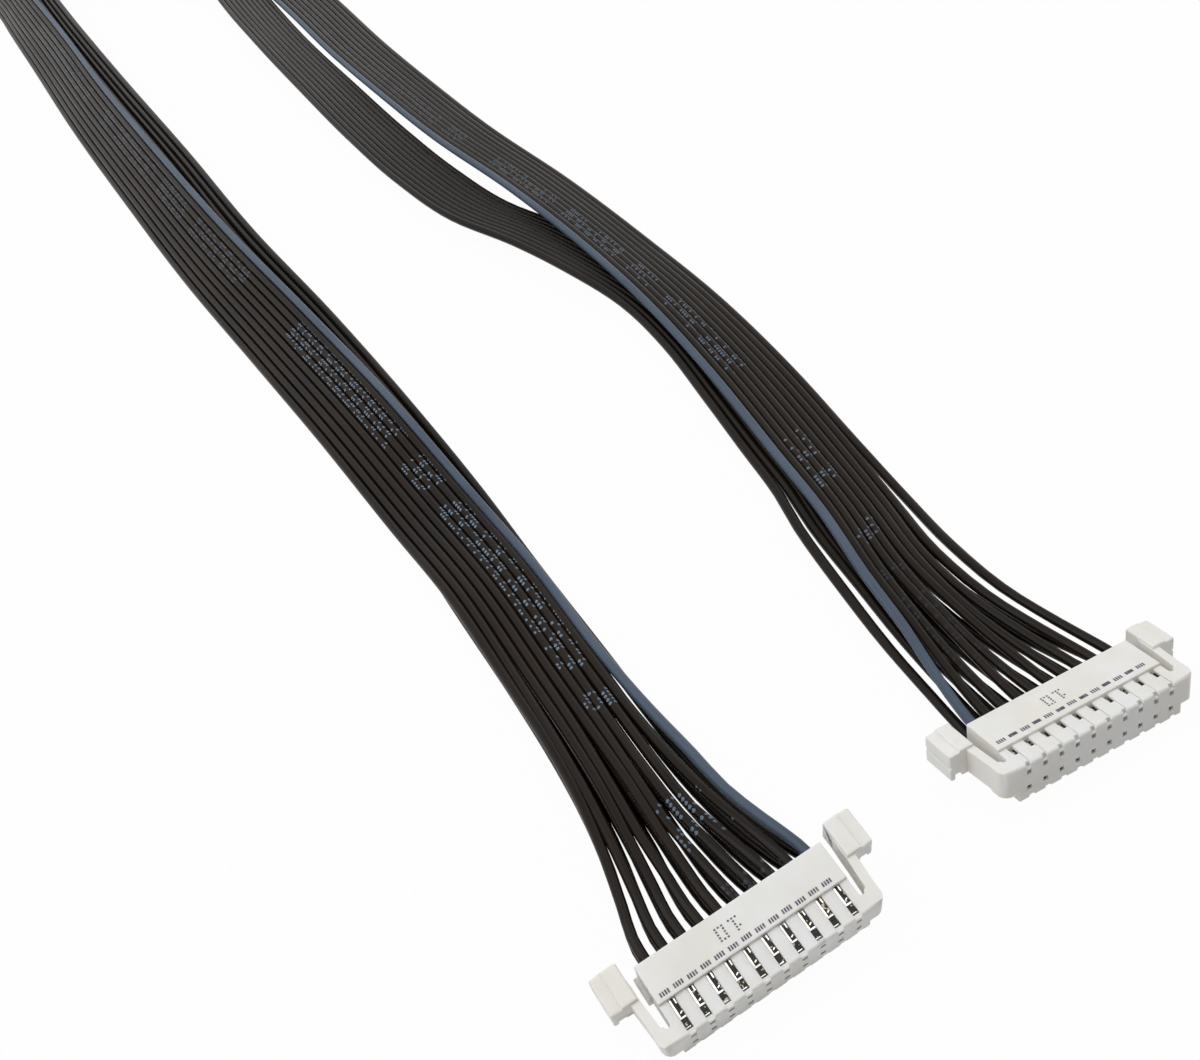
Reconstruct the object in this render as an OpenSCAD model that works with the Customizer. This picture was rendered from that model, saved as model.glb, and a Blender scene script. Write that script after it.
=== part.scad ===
// Twenty-way ribbon lead: two crimp housings joined by two flat cables of bonded wires.
// The lead lies on the plane z = 0 and bends back on itself, so both housings sit side by
// side with their mating faces towards -Y. The origin is under the middle of the housings.

/* [Housing] */
// Distance between neighbouring contacts, and between the two rows
pitch = 2; // [1.95:0.01:2.05]
// Width of the box that holds the contacts
core_w = 20.6; // [20.2:0.1:21]
// Length of the housing from mating face to wire side
core_len = 7.7; // [7.4:0.1:8.1]
// Height of the housing at its wire side
core_h = 4.7; // [4.5:0.05:5]
// How much lower the top is along the mating face
step_drop = 0.35; // [0.1:0.05:0.4]
// Length of the lower stretch over the short windows
short_step = 2.9; // [2.6:0.1:3.1]
// Length of the lower stretch over the long windows
long_step = 3.6; // [3.3:0.1:3.8]
// Radius along the top edge of the mating face
front_round = 0.3; // [0.2:0.05:0.5]
// Radius of the housing's front corners, seen from above
corner_round = 1; // [0.6:0.1:1.2]

/* [Contact cavities] */
// Height of the lower row of contacts above the side that has the long windows
low_row = 1.27; // [1.2:0.01:1.35]
// Width and height of each cavity
cavity = 1.5; // [1.4:0.02:1.6]
// Thickness of the wall behind the mating face
front_wall = 0.5; // [0.45:0.05:0.8]
// Width and height of each pin hole
pin_hole = 0.56; // [0.5:0.02:0.7]
// Width of the latching window over each contact
window_w = 0.7; // [0.5:0.02:0.8]

/* [Latch arms] */
// Width of the slot between box and arm
slot_w = 0.6; // [0.5:0.05:0.8]
// Where the slots begin, behind the mating face
slot_front = 1.55; // [1.3:0.05:1.8]
// Thickness of each arm
arm_t = 1.2; // [1:0.05:1.3]
// Height of the underside of each arm
arm_low = 1.4; // [1.2:0.1:1.8]
// Distance from the middle of the housing to the outside of each finger pad
pad_reach = 14.4; // [14:0.1:15]
// Distance from the mating face to each finger pad
pad_front = 5.1; // [4.8:0.1:5.4]
// Length of each finger pad
pad_len = 3.9; // [3.5:0.1:4.2]

/* [Contacts] */
// Thickness of the contact's strip metal
sheet = 0.15; // [0.1:0.01:0.2]
// Width of the contact's socket
socket_w = 1.2; // [1.1:0.02:1.3]
// Length of the contact's socket
socket_len = 2.6; // [2.2:0.1:2.8]
// Length of the crimp that grips the wire
crimp_len = 1.8; // [1.5:0.1:2]

/* [Cable] */
// Distance between neighbouring wires in the bonded cable
wire_pitch = 1.243; // [1.2:0.001:1.25]

/* [Position] */
// Place of the left housing, at the middle of its mating face
left_spot = [-19.9, -5.43];
// Forward lean and sideways roll of the left housing
left_tilt = [16.2, -5.5];
// Place of the right housing, at the middle of its mating face
right_spot = [20.25, -2.88];
// Forward lean and sideways roll of the right housing
right_tilt = [-6, 4];

/* [Hidden] */

$fn = 32;
nylon = "#ECEAE5";
tin = "#C9CBCC";
black_pvc = "#2A2521";
grey_pvc = "#5A6473";

eps = 0.02;                 // overlap that makes a cut clean
beyond = 1;                 // how far a cut runs out of what it cuts
ways = 10;                  // contacts in each row, and wires in each cable
high_row = low_row + pitch;
front_h = core_h - step_drop;

// Latch arms, out from the middle of the housing
arm_in = core_w / 2 + slot_w;
arm_out = arm_in + arm_t;
spread = 0.25;              // how much further out each arm is at its pad
pad_in = arm_in + 0.6;
arm_blend = [1.3, 2.3];     // where an arm's inner side widens into the pad, behind its front
pad_low = 1.3;
strip = [1.25, 0.25];       // lower strip along the outside of each pad
pad_groove = [2.7, 0.35, 0.25];  // height, width and depth of the groove outside each pad
leg_gap = [0.55, 1.4];      // gap between the two legs under each pad, in from its outside
leg_h = 0.6;
bar_low = 1.2;              // underside of the bar along the mating face
stop_y = [5.2, 7.5];        // stop beside the box that keeps an arm from being pressed too far
stop_z = [0.1, 2.1];
stop_gap = 0.15;

// Windows, measured back from the mating face and down from the top
window_depth = 0.65;
sill_depth = 0.18;          // how low the wall in front of a long window is cut
catch_y = 1.7;              // where a short window begins
seam_w = 0.16;              // fine groove beside a short window
front_notch = [0.35, 0.6];  // length and depth of the notch in front of a short window
foot_notch = [0.3, 0.25];   // how far each notch under the mating face is to one side, and its height

// Contact
contact_gap = 0.1;          // room around a contact in its cavity
crimp_end = core_len - 1.3; // where the wire meets its contact
slit_w = 0.4;               // opening in the top of the socket that frees the catch
slit_y = [0.6, 1.8];
spring_w = 0.5;
spring_z = 0.32;            // half the space between the two springs
spring_y = 0.5;
neck_h = 0.5;
seam_in_crimp = [0.12, 0.4];

// Cable
half_wire = wire_pitch / 2;
facet = half_wire * tan(22.5);       // half a side of the wire's octagon
ride = 0.68;                // height of a wire's centre above what it lies on
last = ways - 1;            // the outermost wire's place in a cable, on the inside of the bend

// Routes of the two cables, from the left housing to the right one. Each row gives x, y, the
// cable's lean to the inside of the bend, how far its lower edge is off the ground, and, where
// the wires are split, the distance between them.
upper_start = [
    [-20.7, 3.5, 5, 5.45, 1.93], [-20.75, 6.8, 4, 5.8, 1.75], [-20.7, 12.5, 0, 6.15, 1.5],
    [-20.25, 19.2, -4, 5.1, 1.36], [-19.6, 29, -8, 3.5, 1.27]
];
upper_left = [
    [-18.9, 40.6, -8, 2.4], [-18.1, 58.9, -8, 1.75], [-18.3, 78.9, 0, 1.45], [-19.1, 103.8, 12, 1.1],
    [-20.5, 133.6, 20, 0.35], [-22.4, 168.5, 28, 0], [-23.5, 208.2, 34, 0], [-24.1, 253, 36, 0],
    [-23.8, 297.7, 38, 0], [-24, 342.4, 48, 0]
];
upper_turn = [5, 359.4, 29];
upper_right = [
    [34.5, 342.4, 30, 0.3], [34.9, 297.7, 4, 0.5], [33.8, 267.9, 6, 0.2], [32.2, 236.1, 9, 0],
    [31.5, 208.2, 12, 0], [31.3, 177.4, 15, 0], [32.5, 146.6, 18, 0], [32.2, 118.7, 20, 0.3],
    [30.9, 93.9, 18, 1], [28.8, 73, 16, 1], [26, 54.1, 16, 0.8], [23.9, 41.2, 18, 0.5]
];
upper_end = [
    [21.6, 30.4, 13, 1.2, 1.28], [20.5, 20.8, 9, 1.9, 1.42], [20.3, 12.7, 6, 2.2, 1.74],
    [20.3, 8.4, 4.5, 2.55, 1.9]
];
lower_start = [
    [-20.6, 3.5, 5, 3.4, 1.93], [-20.7, 6.8, 4, 3.65, 1.75], [-20.45, 12.5, 2, 3.6, 1.5],
    [-19.95, 19.2, 0, 3, 1.36], [-19.1, 29.2, 0, 1.5, 1.27]
];
lower_left = [
    [-18.2, 40.9, 0, 0.3], [-17.5, 61, 0, 0], [-16.8, 78.9, 0, 0], [-16.8, 103.8, 5, 0],
    [-17.4, 133.6, 10, 0], [-19, 168.5, 18, 0], [-19.2, 208.2, 25, 0], [-19.8, 253, 30, 0],
    [-20, 297.7, 36, 0], [-19.7, 342.4, 46, 0]
];
lower_turn = [5, 360.4, 24.8];
lower_right = [
    [28.2, 342.4, 40, 0], [23.5, 297.7, 18, 0], [20.5, 253, 19, 0], [19.5, 219.2, 17, 0],
    [18.9, 191.3, 16, 0], [19.2, 167.5, 15, 0], [20.9, 147.6, 15, 0], [24.9, 131.7, 16, 0],
    [27.5, 116.7, 17, 0], [29.3, 101.8, 16, 0], [28.5, 86.4, 16, 0], [26.4, 72, 15, 0],
    [24.3, 59.1, 15, 0], [22.5, 48.1, 16, 0], [20.9, 41.2, 16, 0]
];
lower_end = [
    [19.5, 30.4, 12, 0.1, 1.28], [19, 20.8, 8, 0.3, 1.45], [19.5, 12.7, 6, 0.45, 1.74],
    [19.9, 8.4, 4.5, 0.65, 1.9]
];
turn_steps = 8;             // straight pieces in the half turn at the far end
turn_lean = [55, 33];       // lean where the half turn begins, and what its middle adds

// ---- Placing the housings ----

function about_x(v, a) = [v.x, v.y * cos(a) - v.z * sin(a), v.y * sin(a) + v.z * cos(a)];
function about_y(v, a) = [v.x * cos(a) + v.z * sin(a), v.y, v.z * cos(a) - v.x * sin(a)];
function tilted(v, tilt) = about_y(about_x(v, tilt[0]), tilt[1]);

// Height that puts a tilted housing's lowest corner on the ground
function lift(tilt) = -min([for (x = [-core_w / 2, core_w / 2], y = [0, core_len])
    tilted([x, y, 0], tilt).z]);
function spot(place, tilt) = [place.x, place.y, lift(tilt)];

module placed(place, tilt) {
    translate(spot(place, tilt)) rotate([tilt[0], tilt[1], 0]) children();
}

// Heights of the upper and lower row. With the long windows upward the housing is turned over.
function rows(long_up) = long_up ? [core_h - low_row, core_h - high_row] : [high_row, low_row];

// ---- Housing, with its mating face on y = 0 and its underside on z = 0 ----

// What the round along the mating face's top edge takes away, seen from the side
module front_edge() {
    difference() {
        translate([-beyond, front_h - front_round]) square([front_round + beyond, front_round + beyond]);
        translate([front_round, front_h - front_round]) circle(front_round);
        translate([front_round, front_h - front_round]) square(front_round + beyond);
    }
}

module core(step_len) {
    translate([-core_w / 2, 0, 0]) rotate([90, 0, 90]) linear_extrude(core_w) difference() {
        union() {
            square([core_len, front_h]);
            translate([step_len, 0]) square([max(core_len - step_len, eps), core_h]);
        }
        front_edge();
    }
}

// Bar along the mating face that carries the latch arms
module front_bar() {
    bar_len = slot_front + slot_w / 2;
    difference() {
        translate([0, 0, bar_low]) linear_extrude(front_h - bar_low) for (s = [0, 1]) mirror([s, 0]) difference() {
            union() {
                translate([-eps, 0]) square([arm_out - corner_round + eps, bar_len]);
                translate([-eps, corner_round]) square([arm_out + eps, bar_len - corner_round]);
                translate([arm_out - corner_round, corner_round]) circle(corner_round);
            }
            translate([arm_in - slot_w / 2, bar_len]) circle(slot_w / 2);
        }
        translate([-pad_reach, 0, 0]) rotate([90, 0, 90]) linear_extrude(2 * pad_reach) front_edge();
    }
}

// Latch arm with its finger pad, on the right-hand side
module arm() {
    root = slot_front + slot_w / 2 - eps;
    translate([0, 0, arm_low]) linear_extrude(front_h - arm_low) polygon([
        [arm_in, root], [arm_out, root], [arm_out + spread, pad_front], [arm_out + spread, pad_front + arm_blend[1]],
        [pad_in, pad_front + arm_blend[1]], [arm_in + spread, pad_front + arm_blend[0]], [arm_in + spread, pad_front]
    ]);
    difference() {
        translate([pad_in, pad_front, pad_low]) cube([pad_reach - pad_in, pad_len, core_h - pad_low]);
        translate([pad_reach - strip[0], pad_front - beyond, core_h - strip[1]])
            cube([strip[0] + beyond, pad_len + 2 * beyond, beyond]);
        translate([pad_reach - pad_groove[2], pad_front - beyond, pad_groove[0]])
            cube([beyond, pad_len + 2 * beyond, pad_groove[1]]);
        translate([pad_reach - leg_gap[1], pad_front - beyond, 0])
            cube([leg_gap[1] - leg_gap[0], pad_len + 2 * beyond, pad_low + leg_h]);
    }
}

module arm_stop() {
    translate([core_w / 2 - eps, stop_y[0], stop_z[0]])
        cube([slot_w - stop_gap + eps, stop_y[1] - stop_y[0], stop_z[1] - stop_z[0]]);
}

module cavity_cut(x, z) {
    translate([x - cavity / 2, front_wall, z - cavity / 2]) cube([cavity, core_len, cavity]);
    translate([x - pin_hole / 2, -beyond, z - pin_hole / 2]) cube([pin_hole, front_wall + 2 * beyond, pin_hole]);
}

// Window that shows the whole socket, with a low sill in front of it
module long_window(x) {
    translate([x - window_w / 2, front_wall, front_h - window_depth])
        cube([window_w, long_step - front_wall, window_depth + beyond]);
    translate([x - window_w / 2, -beyond, front_h - sill_depth]) cube([window_w, front_wall + 2 * beyond, beyond]);
}

// Short window over the contact's catch, with a fine groove and a notch in front of it
module short_window(x) {
    translate([x - window_w / 2, catch_y, front_h - window_depth])
        cube([window_w, short_step - catch_y, window_depth + beyond]);
    translate([x + window_w / 2 - seam_w, -beyond, front_h - seam_w]) cube([seam_w, catch_y + 2 * beyond, beyond]);
    translate([x - pin_hole / 2, -beyond, front_h - front_notch[1]])
        cube([pin_hole, front_notch[0] + beyond, front_notch[1] + beyond]);
}

module housing(long_up) {
    color(nylon) difference() {
        union() {
            core(long_up ? long_step : short_step);
            front_bar();
            for (s = [0, 1]) mirror([s, 0, 0]) {
                arm();
                arm_stop();
            }
        }
        for (i = [0:last]) {
            x = (i - last / 2) * pitch;
            for (z = rows(long_up)) cavity_cut(x, z);
            if (long_up) long_window(x);
            else short_window(x);
            // The lower row's latching window, and the notch in front of it
            translate([x - window_w / 2, catch_y, -beyond]) cube([window_w, short_step - catch_y, low_row + beyond]);
            translate([x + foot_notch[0] - window_w / 2, -beyond, -beyond])
                cube([window_w, front_wall + beyond, foot_notch[1] + beyond]);
        }
    }
}

// ---- Crimp contact, from the mating face back to the wire, about its own centre line ----

module contact() {
    base = -cavity / 2;
    socket_y = front_wall + contact_gap;
    socket_h = cavity - contact_gap;
    neck_y = socket_y + socket_len;
    crimp_y = crimp_end - crimp_len;
    color(tin) {
        difference() {
            translate([-socket_w / 2, socket_y, base]) cube([socket_w, socket_len, socket_h]);
            translate([-socket_w / 2 + sheet, socket_y - beyond, base + sheet])
                cube([socket_w - 2 * sheet, socket_len + 2 * beyond, socket_h - 2 * sheet]);
            translate([-slit_w / 2, socket_y + slit_y[0], 0]) cube([slit_w, slit_y[1] - slit_y[0], cavity]);
        }
        // Two springs that grip the pin, each joined to the socket at its rear
        for (s = [-1, 1]) scale([1, 1, s]) translate([-spring_w / 2, 0, spring_z]) {
            translate([0, socket_y + spring_y, 0]) cube([spring_w, socket_len - spring_y + eps, sheet]);
            translate([0, neck_y - sheet, 0])
                cube([spring_w, sheet, (s < 0 ? -base : base + socket_h) - spring_z - sheet + eps]);
        }
        translate([-socket_w / 2, neck_y - eps, base]) cube([socket_w, crimp_y - neck_y + 2 * eps, sheet]);
        for (s = [0, 1]) mirror([s, 0, 0]) translate([socket_w / 2 - sheet, neck_y - eps, base])
            cube([sheet, crimp_y - neck_y + 2 * eps, neck_h]);
        difference() {
            translate([-socket_w / 2, crimp_y, base]) cube([socket_w, crimp_len, socket_h - contact_gap / 2]);
            translate([-seam_in_crimp[0] / 2, crimp_y - beyond, cavity / 2 - seam_in_crimp[1]])
                cube([seam_in_crimp[0], crimp_len + 2 * beyond, beyond]);
        }
    }
}

// Contacts 1 to 10 are the upper row from left to right, and 11 to 20 the lower row
module seated_contact(i, heights) {
    translate([(i % ways - last / 2) * pitch, 0, heights[i < ways ? 0 : 1]]) contact();
}
function contact_name(side, i) = str("terminal_", side, i < 9 ? "_0" : "_", i + 1);

// ---- Cable ----

// A station of a cable: its centre, its direction across, its direction up and the wire spacing
function station(row, along) =
    let (inside = [along.y, -along.x, 0] / norm(along),
         across = cos(row[2]) * inside + [0, 0, sin(row[2])],
         up = cos(row[2]) * [0, 0, 1] - sin(row[2]) * inside,
         spacing = len(row) > 4 ? row[4] : wire_pitch,
         half = spacing * last / 2)
    [[row[0], row[1], ride + row[3] + half * abs(sin(row[2]))], across, up, spacing];

function stations(rows) = [for (i = [0:len(rows) - 1])
    let (before = rows[max(i - 1, 0)], after = rows[min(i + 1, len(rows) - 1)])
    station(rows[i], [after[0] - before[0], after[1] - before[1], 0])];

// Half turn on its edge at the far end: its centre and radius give its rows
function turn(middle) = [for (i = [0:turn_steps])
    let (a = 180 - 180 * i / turn_steps)
    [middle[0] + middle[2] * cos(a), middle[1] + middle[2] * sin(a), turn_lean[0] + turn_lean[1] * sin(a), 0]];

// Where the wires stand in a row of cavities, at a distance behind the mating face
function seat(place, tilt, height, y, side) =
    [spot(place, tilt) + tilted([0, y, height], tilt), side * tilted([1, 0, 0], tilt),
     tilted([0, 0, 1], tilt), pitch];

corner_u = [-half_wire, -facet, facet, half_wire, half_wire, facet, -facet, -half_wire];
corner_v = [facet, half_wire, half_wire, facet, -facet, -half_wire, -half_wire, -facet];
corners = len(corner_u);
side_corners = corners / 2 - 1;     // corners that each wire adds above, and below

// The corners of wire k at a station
function wire_ring(s, k) = [for (c = [0:corners - 1])
    s[0] + s[1] * ((k - last / 2) * s[3] + corner_u[c]) + s[2] * corner_v[c]];

// The outline of n bonded wires at a station
function flat_ring(s, n) = let (rings = [for (k = [0:n - 1]) wire_ring(s, k)]) concat(
    [for (k = [0:n - 1]) for (c = [0:side_corners - 1]) rings[k][c]],
    [rings[n - 1][side_corners], rings[n - 1][side_corners + 1]],
    [for (k = [n - 1:-1:0]) for (c = [side_corners + 2:corners - 1]) rings[k][c]]);
function flat_size(n) = 2 * (side_corners * n + 1);

// Where the corners of wire k lie in the outline of n bonded wires
function seam(k, n) = let (low = side_corners * (2 * n - 1 - k) + 1)
    concat([for (c = [0:side_corners]) side_corners * k + c], [for (c = [0:side_corners]) low + c]);

// Faces between two rings. The last wall is split along its other diagonal, so that a wire's
// left wall lies flat on its neighbour's right wall.
function skin(p, q) = [for (c = [0:len(p) - 1]) let (d = (c + 1) % len(p))
    each d > 0 ? [[p[c], q[d], p[d]], [p[c], q[c], q[d]]] : [[p[c], q[c], p[d]], [p[d], q[c], q[d]]]];
function flip(p) = [for (i = [len(p) - 1:-1:0]) p[i]];

// Bonded wires that part into single tails at both ends: the first n wires of a cable
module ribbon(start, middle, end, n) {
    a = len(start);
    m = len(middle);
    b = len(end);
    base_a = m * flat_size(n);
    base_b = base_a + n * a * corners;
    points = concat(
        [for (s = middle) each flat_ring(s, n)],
        [for (k = [0:n - 1]) for (s = start) each wire_ring(s, k)],
        [for (k = [0:n - 1]) for (s = end) each wire_ring(s, k)]);
    ring_a = function (k, r) r == a ? seam(k, n) : [for (c = [0:corners - 1]) base_a + (k * a + r) * corners + c];
    ring_b = function (k, r) r == 0 ? [for (i = seam(k, n)) i + (m - 1) * flat_size(n)]
        : [for (c = [0:corners - 1]) base_b + (k * b + r - 1) * corners + c];
    ring_m = function (r) [for (c = [0:flat_size(n) - 1]) r * flat_size(n) + c];
    faces = concat(
        [for (r = [0:m - 2]) each skin(ring_m(r), ring_m(r + 1))],
        [for (k = [0:n - 1]) for (r = [0:a - 1]) each skin(ring_a(k, r), ring_a(k, r + 1))],
        [for (k = [0:n - 1]) for (r = [0:b - 1]) each skin(ring_b(k, r), ring_b(k, r + 1))],
        [for (k = [0:n - 1]) ring_a(k, 0)],
        [for (k = [0:n - 1]) flip(ring_b(k, b))]);
    color(black_pvc) polyhedron(points = points, faces = faces);
}

// Single wire along the inner edge of a cable
module edge_wire(start, middle, end) {
    all = concat(start, middle, end);
    ring = function (r) [for (c = [0:corners - 1]) r * corners + c];
    color(grey_pvc) polyhedron(
        points = [for (s = all) each wire_ring(s, last)],
        faces = concat([for (r = [0:len(all) - 2]) each skin(ring(r), ring(r + 1))],
            [ring(0)], [flip(ring(len(all) - 1))]));
}

function tail(rows) = [for (row = rows) station(row, [0, row[0] < 0 ? 1 : -1, 0])];
function left_tail(rows, height) = concat(
    [for (y = [crimp_end, core_len]) seat(left_spot, left_tilt, height, y, 1)], tail(rows));
function right_tail(rows, height) = concat(
    tail(rows), [for (y = [core_len, crimp_end]) seat(right_spot, right_tilt, height, y, -1)]);

upper_first = left_tail(upper_start, rows(true)[0]);
upper_middle = stations(concat(upper_left, turn(upper_turn), upper_right));
upper_last = right_tail(upper_end, rows(false)[0]);
lower_first = left_tail(lower_start, rows(true)[1]);
lower_middle = stations(concat(lower_left, turn(lower_turn), lower_right));
lower_last = right_tail(lower_end, rows(false)[1]);

module housing_left() { placed(left_spot, left_tilt) housing(true); }
module housing_right() { placed(right_spot, right_tilt) housing(false); }
module terminal_left(i) { placed(left_spot, left_tilt) seated_contact(i, rows(true)); }
module terminal_right(i) { placed(right_spot, right_tilt) seated_contact(i, rows(false)); }

housing_left();
housing_right();
for (i = [0:2 * ways - 1]) terminal_left(i);
for (i = [0:2 * ways - 1]) terminal_right(i);
// The marker wire takes the last place in the upper cable, so its ribbon has one wire fewer
ribbon(upper_first, upper_middle, upper_last, last);  // upper_ribbon
ribbon(lower_first, lower_middle, lower_last, ways);  // lower_ribbon
edge_wire(upper_first, upper_middle, upper_last);  // marker_wire
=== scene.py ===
import math

import bmesh
import bpy
from mathutils import Matrix, Vector


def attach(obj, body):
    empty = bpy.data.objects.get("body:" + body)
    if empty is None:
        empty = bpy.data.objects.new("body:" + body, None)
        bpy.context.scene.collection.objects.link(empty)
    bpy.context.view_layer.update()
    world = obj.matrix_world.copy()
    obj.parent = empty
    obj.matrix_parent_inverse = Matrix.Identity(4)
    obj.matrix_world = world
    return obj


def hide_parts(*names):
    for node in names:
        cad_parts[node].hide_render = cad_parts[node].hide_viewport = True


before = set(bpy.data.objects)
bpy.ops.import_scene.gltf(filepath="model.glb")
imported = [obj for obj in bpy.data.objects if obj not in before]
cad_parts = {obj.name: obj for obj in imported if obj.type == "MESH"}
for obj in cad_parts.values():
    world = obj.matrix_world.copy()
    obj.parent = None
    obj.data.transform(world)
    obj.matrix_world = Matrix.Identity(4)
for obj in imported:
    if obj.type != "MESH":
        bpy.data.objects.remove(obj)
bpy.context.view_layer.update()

mm = 0.001  # the dictionaries hold millimetres and degrees, and the scale of a noise is per metre


def addObject(name, data):
    thing = bpy.data.objects.new(name, data)
    bpy.context.scene.collection.objects.link(thing)
    return thing


def inOrder(bm):  # sorts by place, so that each run gives the same mesh
    for elements in (bm.verts, bm.edges, bm.faces):
        places = {e: sum((v.co for v in getattr(e, "verts", [e])), Vector())[:] for e in elements}
        rank = {e: i for i, e in enumerate(sorted(elements, key=places.get))}
        elements.sort(key=rank.get)


def addMesh(name, bm):
    inOrder(bm)
    mesh = bpy.data.meshes.new(name)
    bm.to_mesh(mesh)
    bm.free()
    return addObject(name, mesh)


def addPiece(name, bm):
    piece = addMesh(name, bm)
    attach(piece, "root")
    return piece


# Camera

cameraPlan = {
    "place": (-49.89, -73.87, 121.94),
    "forward": (0.2535, 0.7211, -0.6448),
    "right": (0.8624, -0.4703, -0.187),
    "lens": 44.46,
    "sensor": 36,
    "near": 5,
    "far": 5000,
}


def makeCamera(plan):
    data = bpy.data.cameras.new("view")
    data.lens, data.sensor_width, data.sensor_fit = plan["lens"], plan["sensor"], "HORIZONTAL"
    data.clip_start, data.clip_end = plan["near"] * mm, plan["far"] * mm
    back = -Vector(plan["forward"]).normalized()
    right = Vector(plan["right"])
    right = (right - back * right.dot(back)).normalized()
    turned = Matrix((right, back.cross(right), back)).transposed().to_4x4()
    camera = addObject("view", data)
    camera.matrix_world = Matrix.Translation(Vector(plan["place"]) * mm) @ turned
    bpy.context.scene.camera = camera


makeCamera(cameraPlan)
print("camera placed")


# Cables

housingPlan = {
    "left": {"spot": (-19.9, -5.43, 0.9872), "tilt": (16.2, -5.5), "side": 1},
    "right": {"spot": (20.25, -2.88, 1.5214), "tilt": (-6, 4), "side": -1},
}
cablePlan = {
    "ways": 10,  # wires in one cable, the last of them the marker wire
    "pitch": 1.243,
    "contactPitch": 2,
    "wireRadius": 0.63,
    "tailRadius": 0.55,  # where the wires are split
    "thinning": 3,  # a wire is thin after one third of the way from one pitch to the other
    "ride": 0.68,  # height of a wire's centre above what it lies on
    "step": 3,  # length of one straight piece of the finished wire
    "fewest": 2,  # straight pieces from one station to the next
    "sides": 12,
    "rearEnds": (6.4, 7.7),  # how far behind the mating face a wire enters its contact
    "turnSteps": 8,
    "turnLean": (55, 33),  # at the ends of the half turn, and what its middle adds
    "strayStart": 10,  # wires begin to stray over this length
    # how far split wires stray: sideways, where along the table, and over what length
    "stray": {
        "upper left": {
            9: (0.75, 21, 13), 8: (0.4, 9, 9), 7: (-0.35, 15, 9), 6: (-0.25, 20, 14),
            5: (-0.3, 14, 10), 4: (0.25, 18, 12), 3: (-0.25, 16, 10), 2: (0.2, 22, 16),
            1: (-0.15, 26, 16), 0: (0.35, 24, 18),
        },
        "upper right": {
            9: (-0.4, 24, 14), 8: (-0.2, 22, 12), 7: (0.25, 20, 10), 6: (-0.3, 18, 10),
            5: (0.3, 16, 10), 4: (-0.25, 20, 10), 3: (0.3, 18, 10), 2: (0.25, 28, 14),
            1: (-0.1, 24, 14), 0: (-1.25, 30, 17),
        },
        "lower left": {
            9: (0.2, 30, 16), 5: (0.3, 18, 10), 3: (0.3, 14, 9), 1: (0.2, 20, 12),
            0: (0.25, 24, 14),
        },
        "lower right": {
            9: (0.35, 34, 18), 8: (-0.5, 28, 14), 6: (0.3, 16, 10), 4: (0.3, 18, 9),
            2: (-0.3, 20, 10),
        },
    },
}
# Each row gives x, y, the lean to the inside of the bend, the height off the ground, and the
# distance between the wires where that is wider. A turn gives its middle and its radius.
upperRoute = {
    "name": "upper",
    "height": {"left": 3.43, "right": 3.27},  # of its contacts, in the housing
    "start": [(-20.7, 3.5, 5, 5.45, 1.93), (-20.75, 6.8, 4, 5.8, 1.75),
              (-20.7, 12.5, 0, 6.15, 1.5), (-20.25, 19.2, -4, 5.1, 1.36),
              (-19.6, 29, -8, 3.5, 1.27)],
    "left": [(-18.9, 40.6, -8, 2.4), (-18.1, 58.9, -8, 1.75), (-18.3, 78.9, 0, 1.45),
             (-19.1, 103.8, 12, 1.1), (-20.5, 133.6, 20, 0.35), (-22.4, 168.5, 28, 0),
             (-23.5, 208.2, 34, 0), (-24.1, 253, 36, 0), (-23.8, 297.7, 38, 0),
             (-24, 342.4, 48, 0)],
    "turn": (5, 359.4, 29),
    "right": [(34.5, 342.4, 30, 0.3), (34.9, 297.7, 4, 0.5), (33.8, 267.9, 6, 0.2),
              (32.2, 236.1, 9, 0), (31.5, 208.2, 12, 0), (31.3, 177.4, 15, 0),
              (32.5, 146.6, 18, 0), (32.2, 118.7, 20, 0.3), (30.9, 93.9, 18, 1),
              (28.8, 73, 16, 1), (26, 54.1, 16, 0.8), (23.9, 41.2, 18, 0.5)],
    "end": [(21.6, 30.4, 13, 1.2, 1.28), (20.5, 20.8, 9, 1.9, 1.42),
            (20.3, 12.7, 6, 2.2, 1.74), (20.3, 8.4, 4.5, 2.55, 1.9)],
}
lowerRoute = {
    "name": "lower",
    "height": {"left": 1.43, "right": 1.27},
    "start": [(-20.6, 3.5, 5, 3.4, 1.93), (-20.7, 6.8, 4, 3.65, 1.75),
              (-20.45, 12.5, 2, 3.6, 1.5), (-19.95, 19.2, 0, 3, 1.36),
              (-19.1, 29.2, 0, 1.5, 1.27)],
    "left": [(-18.2, 40.9, 0, 0.3), (-17.5, 61, 0, 0), (-16.8, 78.9, 0, 0),
             (-16.8, 103.8, 5, 0), (-17.4, 133.6, 10, 0), (-19, 168.5, 18, 0),
             (-19.2, 208.2, 25, 0), (-19.8, 253, 30, 0), (-20, 297.7, 36, 0),
             (-19.7, 342.4, 46, 0)],
    "turn": (5, 360.4, 24.8),
    "right": [(28.2, 342.4, 40, 0), (23.5, 297.7, 18, 0), (20.5, 253, 19, 0),
              (19.5, 219.2, 17, 0), (18.9, 191.3, 16, 0), (19.2, 167.5, 15, 0),
              (20.9, 147.6, 15, 0), (24.9, 131.7, 16, 0), (27.5, 116.7, 17, 0),
              (29.3, 101.8, 16, 0), (28.5, 86.4, 16, 0), (26.4, 72, 15, 0),
              (24.3, 59.1, 15, 0), (22.5, 48.1, 16, 0), (20.9, 41.2, 16, 0)],
    "end": [(19.5, 30.4, 12, 0.1, 1.28), (19, 20.8, 8, 0.3, 1.45),
            (19.5, 12.7, 6, 0.45, 1.74), (19.9, 8.4, 4.5, 0.65, 1.9)],
}
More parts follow.
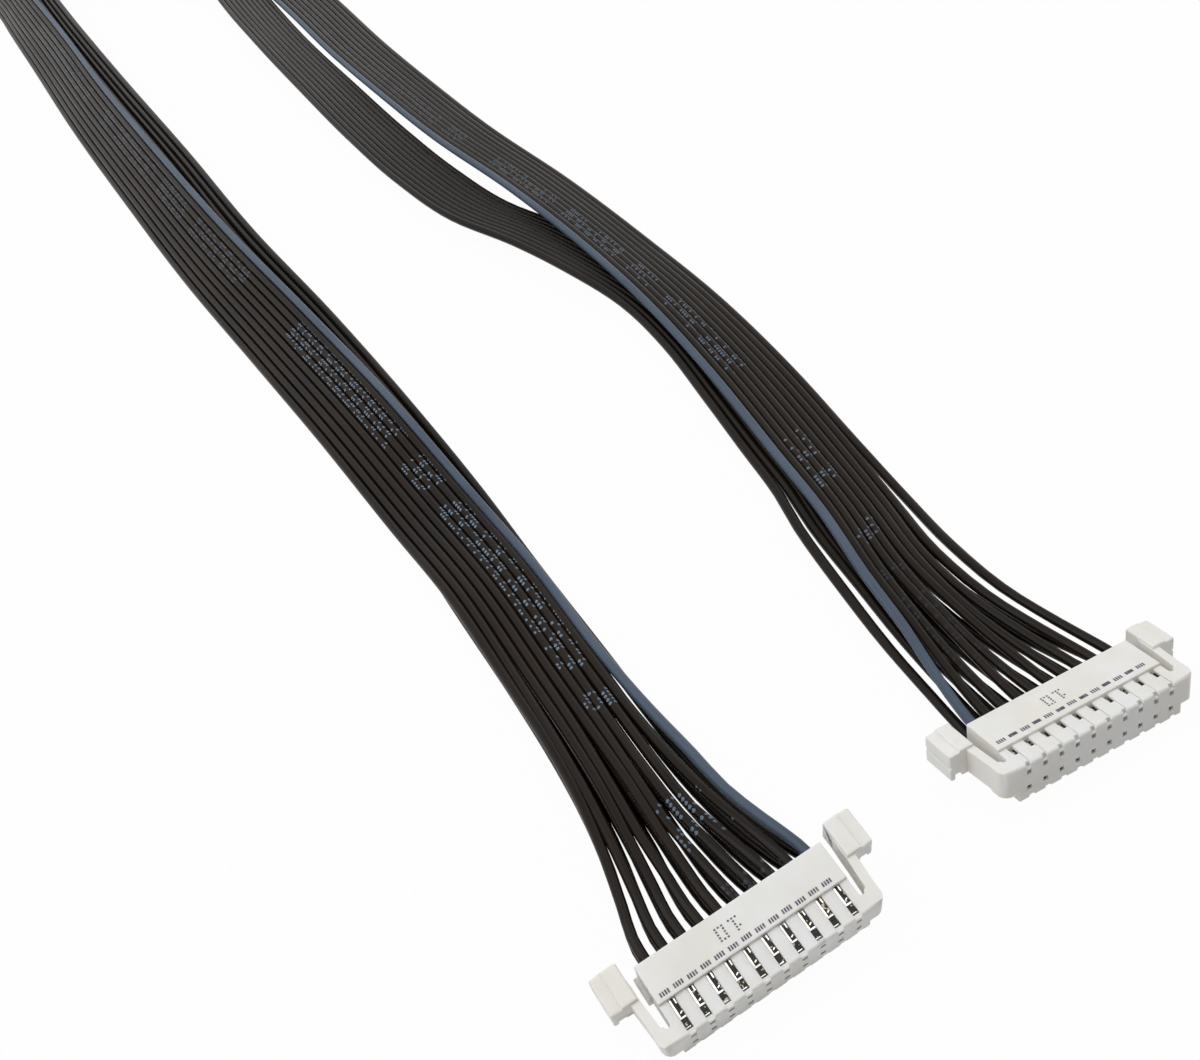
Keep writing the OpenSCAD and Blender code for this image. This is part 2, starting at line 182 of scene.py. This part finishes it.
cables = {
    "upper_cable": {"route": upperRoute, "wires": range(9), "width": 11.2, "node": "upper_ribbon"},
    "lower_cable": {"route": lowerRoute, "wires": range(10), "width": 12.4, "node": "lower_ribbon"},
    "marker_cable": {"route": upperRoute, "wires": [9], "width": 1.26, "node": "marker_wire"},
}


def housingPlace(name):
    plan = housingPlan[name]
    lean, roll = (math.radians(a) for a in plan["tilt"])
    spot = Matrix.Translation(Vector(plan["spot"]))
    return spot @ Matrix.Rotation(roll, 4, "Y") @ Matrix.Rotation(lean, 4, "X")


# A station is a point on the cable, its way across, its way up and the distance of its wires
def station(row, along):
    x, y, lean, lift = row[:4]
    lean = math.radians(lean)
    inside, upright = Vector((along[1], -along[0], 0)).normalized(), Vector((0, 0, 1))
    spacing = row[4] if len(row) > 4 else cablePlan["pitch"]
    half = spacing * (cablePlan["ways"] - 1) / 2
    spot = Vector((x, y, cablePlan["ride"] + lift + half * abs(math.sin(lean))))
    across = math.cos(lean) * inside + math.sin(lean) * upright
    up = math.cos(lean) * upright - math.sin(lean) * inside
    return spot, across, up, spacing


def seat(name, route, depth):  # the station in a housing
    place = housingPlace(name)
    turned = place.to_3x3()
    across = housingPlan[name]["side"] * (turned @ Vector((1, 0, 0)))
    spot = place @ Vector((0, depth, route["height"][name]))
    return spot, across, turned @ Vector((0, 0, 1)), cablePlan["contactPitch"]


def turnRows(x, y, radius):  # the half turn from the left run to the right one
    steps, (lean, more) = cablePlan["turnSteps"], cablePlan["turnLean"]
    for i in range(steps + 1):
        angle = math.pi * (1 - i / steps)
        wide, deep = math.cos(angle), math.sin(angle)
        yield x + radius * wide, y + radius * deep, lean + more * deep, 0


def cableStations(route):
    near, far = cablePlan["rearEnds"]
    found = [seat("left", route, near), seat("left", route, far)]
    found += [station(row, (0, 1)) for row in route["start"]]
    rows = route["left"] + list(turnRows(*route["turn"])) + route["right"]
    for i, row in enumerate(rows):
        before, after = rows[max(i - 1, 0)], rows[min(i + 1, len(rows) - 1)]
        found.append(station(row, (after[0] - before[0], after[1] - before[1])))
    found += [station(row, (0, -1)) for row in route["end"]]
    return found + [seat("right", route, far), seat("right", route, near)]


def slopes(points, chords):  # direction of a smooth curve at each of its points
    found = [(points[1] - points[0]) / chords[0]]
    for i in range(1, len(points) - 1):
        before, after = chords[i - 1], chords[i]
        back, ahead = points[i] - points[i - 1], points[i + 1] - points[i]
        found.append((back * after / before + ahead * before / after) / (before + after))
    return found + [(points[-1] - points[-2]) / chords[-1]]


def smoothRoute(points, chords, counts):  # points on one smooth curve through the given ones
    slope = slopes(points, chords)
    found = []
    for i, count in enumerate(counts):
        for j in range(count):
            t = j / count
            found.append(points[i] * (2 * t ** 3 - 3 * t ** 2 + 1)
                         + slope[i] * chords[i] * (t ** 3 - 2 * t ** 2 + t)
                         + points[i + 1] * (3 * t ** 2 - 2 * t ** 3)
                         + slope[i + 1] * chords[i] * (t ** 3 - t ** 2))
    return found + [points[-1]]


def sweepWire(bm, centres, acrosses, ups, spacings, offset):  # one round wire along its centres
    lay = bm.verts.layers.float_vector.new("lay")  # run, side and height of a point of the sheath
    pitch, contactPitch = cablePlan["pitch"], cablePlan["contactPitch"]
    thick, thin = cablePlan["wireRadius"], cablePlan["tailRadius"]
    run, last = 0, None
    for i, centre in enumerate(centres):
        along = (centres[min(i + 1, len(centres) - 1)] - centres[max(i - 1, 0)]).normalized()
        across = (acrosses[i] - along * acrosses[i].dot(along)).normalized()
        up = along.cross(across)
        if up.dot(ups[i]) <= 0:
            up = -up
        spread = (spacings[i] - pitch) / (contactPitch - pitch)
        split = min(max(spread * cablePlan["thinning"], 0), 1)
        radius = (thick + (thin - thick) * split) * mm
        turned = Matrix((across, up, across.cross(up))).transposed().to_4x4()
        place = Matrix.Translation(centre * mm) @ turned @ Matrix.Scale(radius, 4)
        if last is None:
            made = bmesh.ops.create_circle(bm, cap_ends=True, segments=cablePlan["sides"],
                                           radius=1, matrix=place)
            verts, edges = made["verts"], bm.edges[:]
        else:
            run += (centre - centres[i - 1]).length * mm
            made = bmesh.ops.extrude_edge_only(bm, edges=edges)["geom"]
            verts = [g for g in made if isinstance(g, bmesh.types.BMVert)]
            edges = [g for g in made if isinstance(g, bmesh.types.BMEdge)]
            bmesh.ops.transform(bm, matrix=place @ last.inverted(), verts=verts)
        for v in verts:
            spot = place.inverted() @ v.co * radius
            v[lay] = (run, offset * mm + spot.x, spot.y)
        last = place
    bmesh.ops.edgeloop_fill(bm, edges=edges)


def strayed(name, wire, spot):  # how far a wire leaves its place between cable and contact
    side = "left" if spot.x < 0 else "right"
    amount, middle, reach = cablePlan["stray"][name + " " + side].get(wire, (0, 0, 1))
    fade = min(max(spot.y, 0) / cablePlan["strayStart"], 1)
    return amount * math.exp(-((spot.y - middle) / reach) ** 2) * fade


def makeCable(name, plan):
    route = plan["route"]
    stations = cableStations(route)
    spots, acrosses, ups, spacings = zip(*stations)
    chords = [(b - a).length for a, b in zip(spots, spots[1:])]
    counts = [max(cablePlan["fewest"], round(c / cablePlan["step"])) for c in chords]
    acrosses = [v.normalized() for v in smoothRoute(acrosses, chords, counts)]
    ups = [v.normalized() for v in smoothRoute(ups, chords, counts)]
    spacings = smoothRoute(spacings, chords, counts)
    middle = (cablePlan["ways"] - 1) / 2
    whole, paths = bmesh.new(), []
    for k in plan["wires"]:
        points = [spot + across * ((k - middle) * spacing + strayed(route["name"], k, spot))
                  for spot, across, up, spacing in stations]
        paths.append(smoothRoute(points, chords, counts))
        bm = bmesh.new()
        sweepWire(bm, paths[-1], acrosses, ups, spacings, (k - middle) * cablePlan["pitch"])
        bmesh.ops.recalc_face_normals(bm, faces=bm.faces)
        part = bpy.data.meshes.new("part")
        bm.to_mesh(part)
        bm.free()
        whole.from_mesh(part)
        bpy.data.meshes.remove(part)
    for face in whole.faces:
        face.smooth = len(face.verts) == 4
    piece = addPiece(name, whole)
    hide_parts(plan["node"])
    path = [sum(points, Vector()) / len(points) * mm for points in zip(*paths)]
    length = sum((b - a).length for a, b in zip(path, path[1:]))
    plan["width"] / 1000
    print(name, "is", round(length, 4), "m long, with", len(piece.data.polygons), "faces")
    return piece


laid = {name: makeCable(name, plan) for name, plan in cables.items()}
print("cables laid")


# Housings

shellPlan = {
    "edge": 0.12,  # how much the long edges are rounded
    "rounds": 2,  # faces on a rounded edge
    "sharp": 25,  # edges flatter than this stay as they are
    "shortest": 2,  # and so do edges shorter than this
    "weld": 0.002,  # corners nearer than this are one
    "flat": 1,  # faces that meet at less than this are one
    "sliver": 0.004,  # thinner faces than this are closed up
    "pad": {"edge": 0.16, "from": (11.4, 5), "shortest": 0.8},  # edges past this x and y
    "joint": {"inner": 12.6, "front": 5.2, "top": 4.45},  # an arm's end at its pad stays sharp
    "arm": {"inner": (10.8, 11.25), "along": (1.9, 6.6), "widen": 0.25},
}


def makeHousing(side, plan):
    bm = bmesh.new()
    bm.from_mesh(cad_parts["housing_" + side].data)
    bmesh.ops.remove_doubles(bm, verts=bm.verts, dist=plan["weld"] * mm)
    place = Matrix.Scale(mm, 4) @ housingPlace(side)
    bmesh.ops.transform(bm, matrix=place.inverted(), verts=bm.verts)
    bmesh.ops.dissolve_limit(bm, angle_limit=math.radians(plan["flat"]), verts=bm.verts,
                             edges=bm.edges)
    arm, pad, joint = plan["arm"], plan["pad"], plan["joint"]
    (near, far), (inner, outer) = arm["along"], arm["inner"]
    for v in bm.verts:  # the slots are a little wider than in the solids
        if near < v.co.y < far and inner < abs(v.co.x) < outer:
            v.co.x += math.copysign(arm["widen"], v.co.x)

    def onPad(edge):
        return all(abs(v.co.x) > pad["from"][0] and v.co.y > pad["from"][1] for v in edge.verts)

    def atJoint(edge):
        return all(abs(v.co.x) < joint["inner"] and v.co.y < joint["front"]
                   and v.co.z < joint["top"] for v in edge.verts)

    def rounded(edges, shortest, radius):
        sharp = math.radians(plan["sharp"])
        picked = [e for e in edges if e.calc_face_angle(0) > sharp and e.calc_length() > shortest]
        bmesh.ops.bevel(bm, geom=picked, offset=radius, segments=plan["rounds"], profile=0.5,
                        affect="EDGES", material=-1, clamp_overlap=False, loop_slide=False)

    rounded([e for e in bm.edges if onPad(e) and not atJoint(e)], pad["shortest"], pad["edge"])
    rounded([e for e in bm.edges if not onPad(e)], plan["shortest"], plan["edge"])
    bmesh.ops.triangulate(bm, faces=bm.faces)
    inOrder(bm)
    bmesh.ops.dissolve_degenerate(bm, dist=plan["sliver"], edges=bm.edges)
    bmesh.ops.transform(bm, matrix=place, verts=bm.verts)
    piece = addPiece("shell_" + side, bm)
    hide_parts("housing_" + side)
    return piece


shells = {side: makeHousing(side, shellPlan) for side in housingPlan}
print("housings rounded")


# Contacts' tops in the windows, and painted shade in the sockets

# Blocks over each contact: x and y of the middle, height above its centre line, width, depth,
# height, and a turn in radians
# The dark blocks are painted shade: dark sheets laid in the sockets over the contacts' insides, so
# that the bright solids there look shaded.
coverPlan = {
    "edge": 0.015,  # how much the bright blocks are rounded
    "left": {
        "bright": [(-0.23, 2.8, 0.71, 0.2, 2.1, 0.06, 0), (0, 1.64, 0.74, 0.64, 0.17, 0.12, 0),
                   (0.12, 2.12, 0.72, 0.3, 0.14, 0.07, 0.5), (0.2, 3.3, 0.7, 0.16, 0.6, 0.05, 0),
                   (-0.05, 0.7, 0.68, 0.5, 0.1, 0.06, 0)],
        "dark": [(0.08, 2.75, 0.66, 0.5, 2, 0.04, 0), (0, 1.08, 0.66, 0.66, 0.95, 0.04, 0)],
    },
    "right": {
        "bright": [(-0.17, 2.35, 0.76, 0.34, 1.3, 0.1, 0), (0.2, 2.78, 0.76, 0.3, 0.3, 0.1, 0.2),
                   (0.1, 1.85, 0.72, 0.4, 0.2, 0.08, -0.4)],
        # the second dark block on the right is painted shade that fills each pin hole
        "dark": [(0.12, 2.3, 0.66, 0.44, 1.3, 0.04, 0), (0, 0.3, -2, 0.54, 0.04, 0.54, 0)],
    },
}


def addBlock(bm, place, middle, size, turn=0):
    turned = Matrix.Translation(Vector(middle)) @ Matrix.Rotation(turn, 4, "Z")
    spot = turned @ Matrix.Diagonal((*size, 1))
    bmesh.ops.create_cube(bm, size=1, matrix=Matrix.Scale(mm, 4) @ place @ spot)


def makeCovers(side, kind, plan):
    place, row = housingPlace(side), upperRoute["height"][side]
    bm = bmesh.new()
    for i in range(cablePlan["ways"]):
        x = (i - (cablePlan["ways"] - 1) / 2) * cablePlan["contactPitch"]
        for across, along, up, wide, deep, tall, turn in plan[side][kind]:
            addBlock(bm, place, (x + across, along, row + up), (wide, deep, tall), turn)
    if kind == "bright":
        bmesh.ops.bevel(bm, geom=bm.edges, offset=plan["edge"] * mm, segments=1, profile=0.5,
                        affect="EDGES", material=-1)
    return addPiece("contact_" + kind + "_" + side, bm)


covers = {(side, kind): makeCovers(side, kind, coverPlan)
          for side in housingPlan for kind in ("bright", "dark")}
print("contacts covered")


# Ink on the housings

inkPlan = {
    "top": 4.7,  # height of the deck in the housing
    "thick": 0.012,
    "from": -9.72,  # where the first group begins
    "groups": 13,
    "step": 1.475,  # from one group to the next
    "ticks": 4,  # in one group
    "gap": 0.27,  # from one tick to the next
    "sway": (0.03, 2.3),  # how far the groups leave their row, and how that changes along it
    "dash": {"lines": 4, "apart": 0.1, "wide": 0.09},
    "number": "10",
    "dot": (0.2, 0.18),
    "dots": (0.37, 0.3),  # from one dot of a digit to the next
    "digits": {"1": ["010", "110", "010", "010", "111"], "0": ["111", "101", "101", "101", "111"]},
    "left": {"row": 4.2, "tick": (0.17, 0.46), "dashed": False, "middle": (-1.3, 5.75)},
    "right": {"row": 3.74, "tick": (0.17, 0.45), "dashed": True, "middle": (-1.2, 5.4)},
}


def makeInk(side, plan):
    own, place, thick = plan[side], housingPlace(side), plan["thick"]
    height = plan["top"] + thick / 2
    gap, last, dash = plan["gap"], plan["ticks"] - 1, plan["dash"]
    (wide, deep), (amount, pace) = own["tick"], plan["sway"]
    bm = bmesh.new()
    for group in range(plan["groups"]):
        x = plan["from"] + group * plan["step"] + wide / 2
        y = own["row"] + amount * math.sin(group * pace)
        if own["dashed"] and group % 2:
            for line in range(dash["lines"]):
                aside = (line - (dash["lines"] - 1) / 2) * dash["apart"]
                addBlock(bm, place, (x + last / 2 * gap, y + aside, height),
                         (last * gap + wide, dash["wide"], thick))
        else:
            for tick in range(plan["ticks"]):
                addBlock(bm, place, (x + tick * gap, y, height), (wide, deep, thick))
    (middleX, middleY), (across, along) = own["middle"], plan["dots"]
    for i, digit in enumerate(plan["number"]):
        rows = plan["digits"][digit]
        columns = len(rows[0]) + 1  # from one digit to the next
        half = len(plan["number"]) * columns / 2 - 1
        for j, row in enumerate(rows):
            for k, dot in enumerate(row):
                if dot == "1":
                    addBlock(bm, place, (middleX - (i * columns + k - half) * across,
                                         middleY + (j - (len(rows) - 1) / 2) * along, height),
                             (*plan["dot"], thick))
    return addPiece("ink_" + side, bm)


inks = {side: makeInk(side, inkPlan) for side in housingPlan}
print("ink laid on")


# Finishes

class Wave:  # a shader socket that can stand in sums and products
    def __init__(self, finish, socket):
        self.finish, self.socket = finish, socket

    def math(self, operation, *others, clamp=False):
        return self.finish.make("ShaderNodeMath", {"operation": operation, "use_clamp": clamp},
                                dict(enumerate((self,) + others)))

    def __add__(self, other): return self.math("ADD", other)
    def __sub__(self, other): return self.math("SUBTRACT", other)
    def __mul__(self, other): return self.math("MULTIPLY", other)
    def __truediv__(self, other): return self.math("DIVIDE", other)
    def __gt__(self, other): return self.math("GREATER_THAN", other)
    def __lt__(self, other): return self.math("LESS_THAN", other)

    def __rsub__(self, other):
        return self.finish.make("ShaderNodeMath", {"operation": "SUBTRACT"}, {0: other, 1: self})


class Finish:  # the nodes of a material or a world, made one at a time
    def __init__(self, owner):
        owner.use_nodes = True
        self.owner, self.tree = owner, owner.node_tree
        self.tree.nodes.clear()

    def make(self, kind, settings, inputs, output=0):
        node = self.tree.nodes.new(kind)
        for key, value in settings.items():
            if key == "stops":
                self.setStops(node.color_ramp, value)
            else:
                setattr(node, key, value)
        for key, value in inputs.items():
            if isinstance(value, Wave):
                self.tree.links.new(value.socket, node.inputs[key])
            else:
                node.inputs[key].default_value = value
        return None if output is None else Wave(self, node.outputs[output])

    def setStops(self, ramp, stops):
        while len(ramp.elements) < len(stops):
            ramp.elements.new(0.5)
        for element, (place, value) in zip(ramp.elements, stops):
            element.position, element.color = place, value

    def place(self):  # where a point is on the object, in metres
        return self.make("ShaderNodeTexCoord", {}, {}, "Object")

    def attribute(self, name):
        return self.make("ShaderNodeAttribute", {"attribute_name": name}, {}, "Vector")

    def split(self, vector):
        node = self.make("ShaderNodeSeparateXYZ", {}, {0: vector}).socket.node
        return [Wave(self, socket) for socket in node.outputs]

    def join(self, x, y, z):
        return self.make("ShaderNodeCombineXYZ", {}, {0: x, 1: y, 2: z})

    def noise(self, vector, scale, detail=2):
        return self.make("ShaderNodeTexNoise", {},
                         {"Vector": vector, "Scale": scale, "Detail": detail})

    def speckle(self, first, second):  # one chance number for each pair of whole numbers
        return self.make("ShaderNodeTexWhiteNoise", {"noise_dimensions": "2D"},
                         {"Vector": self.join(first, second, 0)})

    def spread(self, value, old, new=(0, 1)):  # one range of numbers stretched to another
        return self.make("ShaderNodeMapRange", {"clamp": True},
                         {0: value, 1: old[0], 2: old[1], 3: new[0], 4: new[1]})

    def mix(self, factor, first, second):  # colours
        return self.make("ShaderNodeMix", {"data_type": "RGBA"},
                         {0: factor, 6: first, 7: second}, 2)

    def bump(self, height, strength, distance):
        return self.make("ShaderNodeBump", {},
                         {"Height": height, "Strength": strength, "Distance": distance})

    def clearRay(self):  # 1 for rays that see the plain background straight or in a shiny surface
        kinds = ("Is Camera Ray", "Is Glossy Ray", "Is Transmission Ray")
        rays = [self.make("ShaderNodeLightPath", {}, {}, kind) for kind in kinds]
        return (rays[0] + rays[1]).math("ADD", rays[2], clamp=True)

    def close(self, inputs):  # the surface shader and the way out
        surface = self.make("ShaderNodeBsdfPrincipled", {}, inputs)
        self.make("ShaderNodeOutputMaterial", {}, {"Surface": surface}, None)
        return self.owner


def tone(code):  # a colour written as six hex digits, made linear
    parts = [int(code[i:i + 2], 16) / 255 for i in (0, 2, 4)]
    return tuple(p / 12.92 if p <= 0.04045 else ((p + 0.055) / 1.055) ** 2.4 for p in parts) + (1,)


noiseSpan = (0.35, 0.65)  # where most values of a noise lie
pairSpan = (0.7, 1.3)  # and those of two noises added up
white = (1, 1, 1, 1)

sheathPlan = {
    "printed": {"dark": "0F0A07", "light": "20170F", "rough": (0.25, 0.4)},
    "plain": {"dark": "0E0A07", "light": "1D150F", "rough": (0.25, 0.4)},
    "grey": {"dark": "465060", "light": "566171", "rough": (0.3, 0.44)},
    "mottle": 60,
    "streak": (30, 2600),  # noise along the wire and round it
    "streakHeight": 0.02,
    "streakStrength": 0.4,
    "sheen": 0.13,
    "ior": 1.5,
}
dotPlan = {
    "paint": "8092A8",
    "pitch": (0.66, 0.62),  # along the cable and across it
    "size": (0.34, 0.3),  # half a dot, as a share of the pitch
    "band": (2.1, 1.85),  # middle of the printed band, and half its width
    "sign": (6, 4.5),  # columns in one sign, and how many of them are printed
    "filled": 0.48,  # a place in a sign stays empty below this chance number
    "blank": 0.3,  # and a whole sign below this one
    "seed": 7,
    # share of the paint that is left, at shares of the cable's length
    "stops": [(0, 0), (0.012, 0.5), (0.06, 0.75), (0.16, 0.72), (0.19, 0.35), (0.33, 0.22),
              (0.45, 0.12), (0.75, 0.15), (0.86, 0.4), (0.955, 0.55), (0.965, 0.08), (1, 0)],
    "reach": 808,  # length of the printed cable
}


def printedDots(finish, run, side, plan):  # a matrix of unconnected dots, which spells nothing
    column, row = run / (plan["pitch"][0] * mm), side / (plan["pitch"][1] * mm)
    wholeColumn, wholeRow = column.math("FLOOR"), row.math("FLOOR")
    alongDot = (column - wholeColumn - 0.5) / plan["size"][0]
    acrossDot = (row - wholeRow - 0.5) / plan["size"][1]
    dot = alongDot * alongDot + acrossDot * acrossDot < 1
    filled = finish.speckle(wholeColumn, wholeRow) > plan["filled"]
    wide, printed = plan["sign"]
    sign = (wholeColumn / wide).math("FLOOR")
    inSign = wholeColumn - sign * wide < printed
    word = finish.speckle(sign, plan["seed"]) > plan["blank"]
    band = (side - plan["band"][0] * mm).math("ABSOLUTE") < plan["band"][1] * mm
    stops = [(place, (value, value, value, 1)) for place, value in plan["stops"]]
    strength = finish.make("ShaderNodeValToRGB", {"stops": stops}, {0: run / (plan["reach"] * mm)})
    return dot * filled * inSign * word * band * strength


def sheathFinish(kind, plan):
    own = plan[kind]
    finish = Finish(bpy.data.materials.new(kind + "_sheath"))
    run, side, height = finish.split(finish.attribute("lay"))
    drift = finish.noise(finish.place(), plan["mottle"], detail=3)
    lengthwise, crosswise = plan["streak"]
    spot = finish.join(run * lengthwise, side * crosswise, height * crosswise)
    streak = finish.noise(spot, 1, detail=3)
    factor = finish.spread(drift + streak, pairSpan)
    colour = finish.mix(factor, tone(own["dark"]), tone(own["light"]))
    if kind == "printed":
        dots = printedDots(finish, run, side, dotPlan) * (height > 0)
        colour = finish.mix(dots, colour, tone(dotPlan["paint"]))
    return finish.close({
        "Base Color": colour,
        "Roughness": finish.spread(streak, noiseSpan, own["rough"]),
        "Normal": finish.bump(streak, plan["streakStrength"], plan["streakHeight"] * mm),
        "Specular IOR Level": plan["sheen"],
        "IOR": plan["ior"],
    })


nylonPlan = {
    "milk": "ECEBE8",
    "cream": "E8E5DE",
    "cloud": 220,
    "grain": 9000,
    "grainHeight": 0.004,
    "grainStrength": 0.3,
    "rough": (0.36, 0.5),
    "glow": 0.25,
    "glowReach": 1.2,
    "glowColour": (1, 0.8, 0.5),
    "ior": 1.53,
}


def nylonFinish(name, plan):
    finish = Finish(bpy.data.materials.new(name))
    place = finish.place()
    cloud = finish.noise(place, plan["cloud"], detail=3)
    grain = finish.noise(place, plan["grain"])
    factor = finish.spread(cloud, noiseSpan)
    return finish.close({
        "Base Color": finish.mix(factor, tone(plan["milk"]), tone(plan["cream"])),
        "Roughness": finish.spread(cloud + grain, pairSpan, plan["rough"]),
        "Normal": finish.bump(grain, plan["grainStrength"], plan["grainHeight"] * mm),
        "Subsurface Weight": plan["glow"],
        "Subsurface Scale": plan["glowReach"] * mm,
        "Subsurface Radius": plan["glowColour"],
        "IOR": plan["ior"],
    })


tinPlan = {
    "bright": "D9D6CF",
    "dull": "A8A49C",
    "patch": 900,
    "scratch": (4000, 300, 4000),
    "scratchHeight": 0.004,
    "scratchStrength": 0.25,
    "rough": (0.14, 0.34),
}


def tinFinish(name, plan):
    finish = Finish(bpy.data.materials.new(name))
    place = finish.place()
    patch = finish.noise(place, plan["patch"], detail=3)
    scratched = finish.make("ShaderNodeVectorMath", {"operation": "MULTIPLY"},
                            {0: place, 1: plan["scratch"]})
    scratch = finish.noise(scratched, 1)
    factor = finish.spread(patch, noiseSpan)
    return finish.close({
        "Base Color": finish.mix(factor, tone(plan["dull"]), tone(plan["bright"])),
        "Roughness": finish.spread(patch + scratch, pairSpan, plan["rough"]),
        "Normal": finish.bump(scratch, plan["scratchStrength"], plan["scratchHeight"] * mm),
        "Metallic": 1,
    })


paintedShadePlan = {
    # deep is the colour of the painted shade, and the lighter specks are painted glints
    "deep": "0B0A09",
    "painted_glint": "A79F90",
    "speck": 2300,
    "paintedGlintSpan": (0.6, 0.66),
    "roughSpan": (0.4, 0.6),
    "rough": (0.25, 0.5),
    "metal": 0.6,
}


def paintedShadeFinish(name, plan):  # painted shade for the inside of a socket, with a few painted glints
    finish = Finish(bpy.data.materials.new(name))
    speck = finish.noise(finish.place(), plan["speck"])
    factor = finish.spread(speck, plan["paintedGlintSpan"])
    return finish.close({
        "Base Color": finish.mix(factor, tone(plan["deep"]), tone(plan["painted_glint"])),
        "Roughness": finish.spread(speck, plan["roughSpan"], plan["rough"]),
        "Metallic": plan["metal"],
    })


inkPaint = {
    "tone": "4A4250",
    "faded": "8C8690",
    "blotch": 2600,
    "fadedSpan": (0.45, 0.75),
    "roughSpan": (0.3, 0.7),
    "rough": (0.5, 0.7),
}


def inkFinish(name, plan):
    finish = Finish(bpy.data.materials.new(name))
    blotch = finish.noise(finish.place(), plan["blotch"])
    factor = finish.spread(blotch, plan["fadedSpan"])
    return finish.close({
        "Base Color": finish.mix(factor, tone(plan["tone"]), tone(plan["faded"])),
        "Roughness": finish.spread(blotch, plan["roughSpan"], plan["rough"]),
    })


def paint(piece, material):
    piece.data.materials.clear()
    piece.data.materials.append(material)


paint(laid["upper_cable"], sheathFinish("printed", sheathPlan))
paint(laid["lower_cable"], sheathFinish("plain", sheathPlan))
paint(laid["marker_cable"], sheathFinish("grey", sheathPlan))
nylon = nylonFinish("moulded_nylon", nylonPlan)
tin = tinFinish("tinned_contact", tinPlan)
paintedShade = paintedShadeFinish("painted_socket_shade", paintedShadePlan)
ink = inkFinish("purple_ink", inkPaint)
for side in housingPlan:
    paint(shells[side], nylon)
    paint(inks[side], ink)
    paint(covers[side, "bright"], tin)
    paint(covers[side, "dark"], paintedShade)
for name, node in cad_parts.items():
    if name.startswith("terminal"):
        for holder in node.material_slots:
            holder.material = tin
print("finishes given")


# Floor and light

floorPlan = {
    "half": 3000,  # half the floor's side
    "paper": "B6B6B5",
    "fibre": 900,
    "fade": 0.97,  # how far the camera sees plain white in place of the lit paper
}


def floorFinish(name, plan):
    finish = Finish(bpy.data.materials.new(name))
    fibre = finish.noise(finish.place(), plan["fibre"])
    colour = finish.mix(fibre, tone(plan["paper"]), white)
    paper = finish.make("ShaderNodeBsdfDiffuse", {}, {"Color": colour})
    plain = finish.make("ShaderNodeEmission", {}, {"Color": white, "Strength": 1})
    factor = finish.clearRay() * plan["fade"]
    seen = finish.make("ShaderNodeMixShader", {}, {0: factor, 1: paper, 2: plain})
    finish.make("ShaderNodeOutputMaterial", {}, {"Surface": seen}, None)
    return finish.owner


def makeFloor(plan):
    bm = bmesh.new()
    bmesh.ops.create_grid(bm, x_segments=1, y_segments=1, size=plan["half"] * mm)
    floor = addMesh("floor", bm)
    paint(floor, floorFinish("white_paper", plan))


makeFloor(floorPlan)

lampPlan = {
    "aim": (0, 60, 0),
    "lamps": {
        "top": {"place": (-200, 100, 900), "size": 900, "power": 4.8},
        "left": {"place": (-700, 300, 500), "size": 600, "power": 2},
        "right": {"place": (700, 0, 500), "size": 600, "power": 1.6},
    },
}


def makeLamp(name, plan, aim):
    data = bpy.data.lights.new(name, "AREA")
    data.size, data.energy = plan["size"] * mm, plan["power"]
    lamp = addObject(name, data)
    lamp.location = Vector(plan["place"]) * mm
    way = Vector(aim) * mm - lamp.location
    lamp.rotation_euler = way.to_track_quat("-Z", "Y").to_euler()


for lampName, settings in lampPlan["lamps"].items():
    makeLamp(lampName, settings, lampPlan["aim"])

skyPlan = {
    "strength": 0.38,
    "front": 0.3,  # share of the light that comes from the front
    "turn": (-0.75, 0.25),  # where it grows from that share to the whole
}


def makeSky(plan):
    world = bpy.data.worlds.new("studio")
    bpy.context.scene.world = world
    sky = Finish(world)
    along = sky.split(sky.make("ShaderNodeTexCoord", {}, {}, "Generated"))[1]
    share = sky.spread(along, plan["turn"], (plan["front"], 1)) * plan["strength"]
    clear = sky.clearRay()
    light = sky.make("ShaderNodeBackground", {},
                     {"Color": white, "Strength": share * (1 - clear) + clear})
    sky.make("ShaderNodeOutputWorld", {}, {"Surface": light}, None)


makeSky(skyPlan)
bpy.context.scene.view_settings.view_transform = "Standard"
print("floor and light set")
